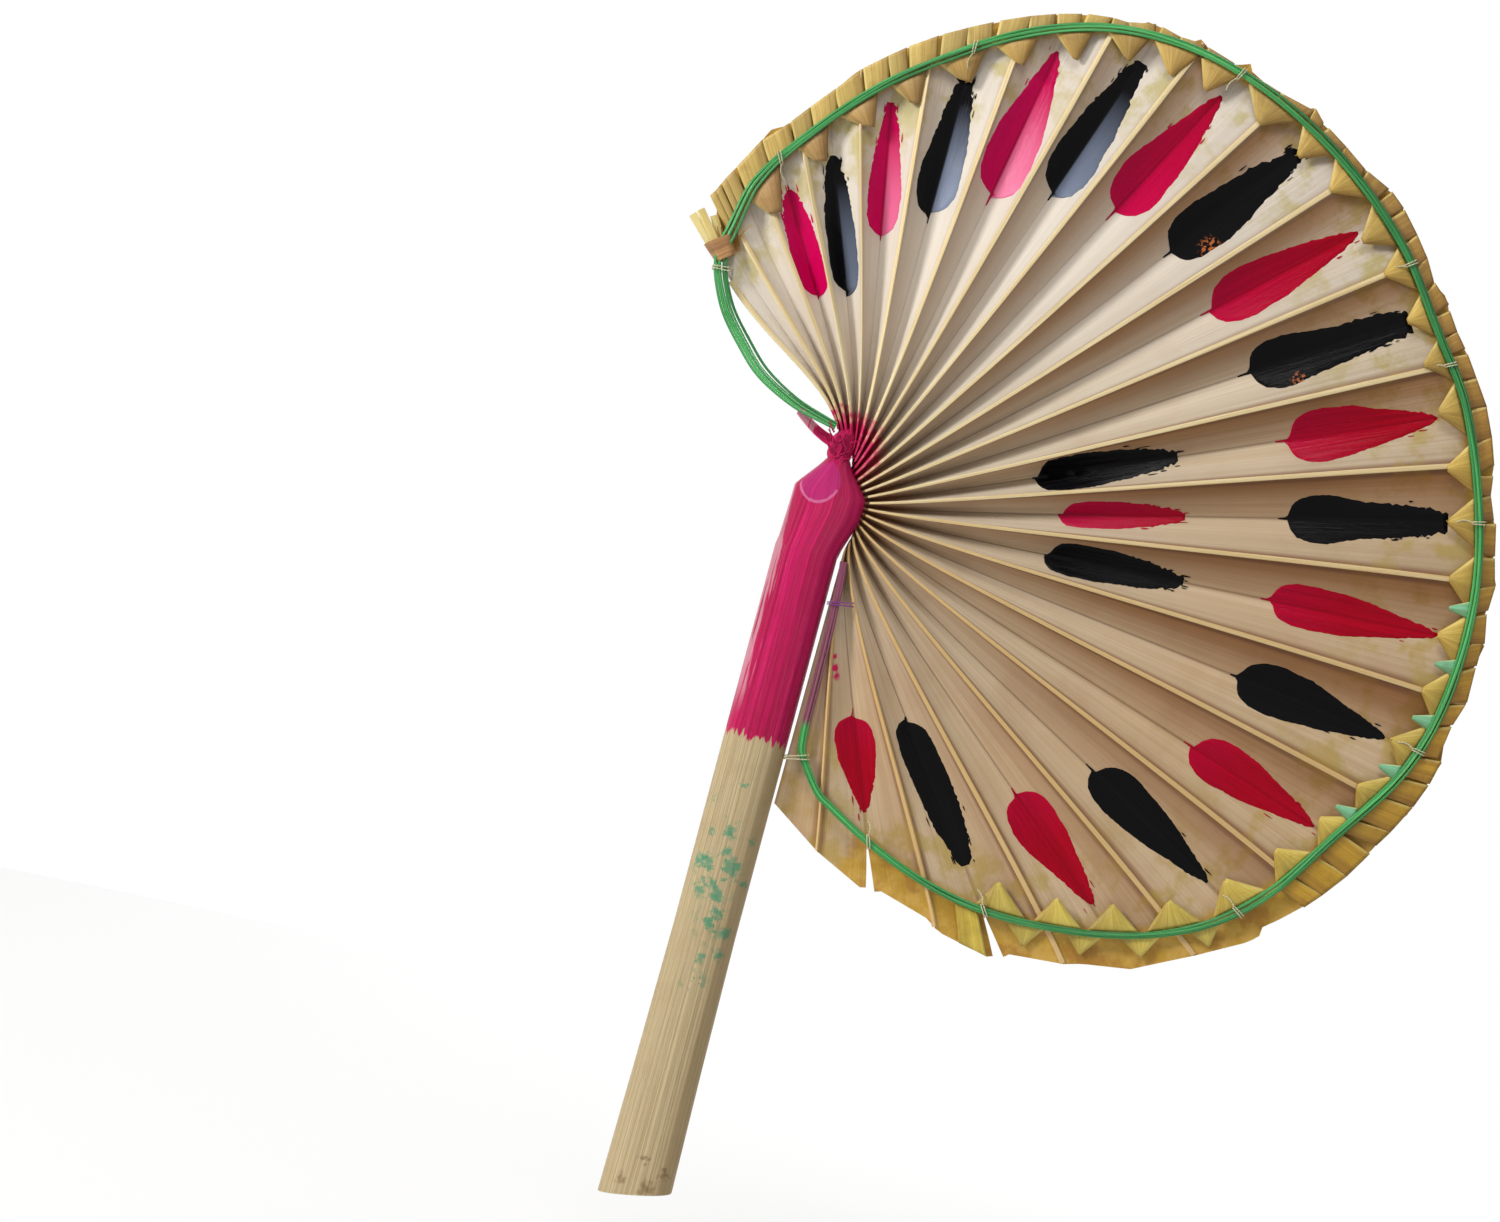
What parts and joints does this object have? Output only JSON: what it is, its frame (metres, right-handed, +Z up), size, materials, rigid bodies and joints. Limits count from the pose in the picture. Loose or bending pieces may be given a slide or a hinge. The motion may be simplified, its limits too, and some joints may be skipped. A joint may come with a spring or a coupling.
{
  "type": "palm leaf hand fan",
  "caption": "Side-set hand fan of pleated palm leaf on its own stalk, with folded edging, a green splint hoop and brushed red and black strokes.",
  "frame": {"origin": "the middle of the grip, on the axis of the handle", "axes": "+Z up along the handle, +X towards the blade, -Y out of the painted front face"},
  "size_m": [0.3083, 0.0123, 0.4437],
  "materials": {
    "stalk": "satin, straight grain",
    "leaf": "matt, fine parallel fibres",
    "edging": "satin ochre",
    "thread": "twisted cotton",
    "purple_thread": "twisted cotton",
    "splint": "dyed, satin",
    "wrap": "brown, satin",
    "strip_ends": "pale, satin"
  },
  "bodies": {
    "root": {"handle": "stalk", "leaflet_01": "leaf", "leaflet_02": "leaf", "leaflet_03": "leaf", "leaflet_04": "leaf", "leaflet_05": "leaf", "leaflet_06": "leaf", "leaflet_07": "leaf", "leaflet_08": "leaf", "leaflet_09": "leaf", "leaflet_10": "leaf", "leaflet_11": "leaf", "leaflet_12": "leaf", "leaflet_13": "leaf", "leaflet_14": "leaf", "leaflet_15": "leaf", "leaflet_16": "leaf", "leaflet_17": "leaf", "leaflet_18": "leaf", "leaflet_19": "leaf", "leaflet_20": "leaf", "leaflet_21": "leaf", "leaflet_22": "leaf", "edging_front": "edging", "edging_back": "edging", "stitch_01": "thread", "stitch_02": "thread", "stitch_03": "thread", "stitch_04": "thread", "stitch_05": "thread", "stitch_06": "thread", "stitch_07": "thread", "stitch_08": "thread", "stitch_09": "thread", "stitch_10": "thread", "tie_white": "thread", "tie_purple": "purple_thread", "tie_corner": "thread", "hoop_front_1": "splint", "hoop_front_2": "splint", "hoop_front_3": "splint", "hoop_back_1": "splint", "hoop_back_2": "splint", "corner_wrap": "wrap", "corner_tab": "strip_ends"}
  },
  "joints": []
}
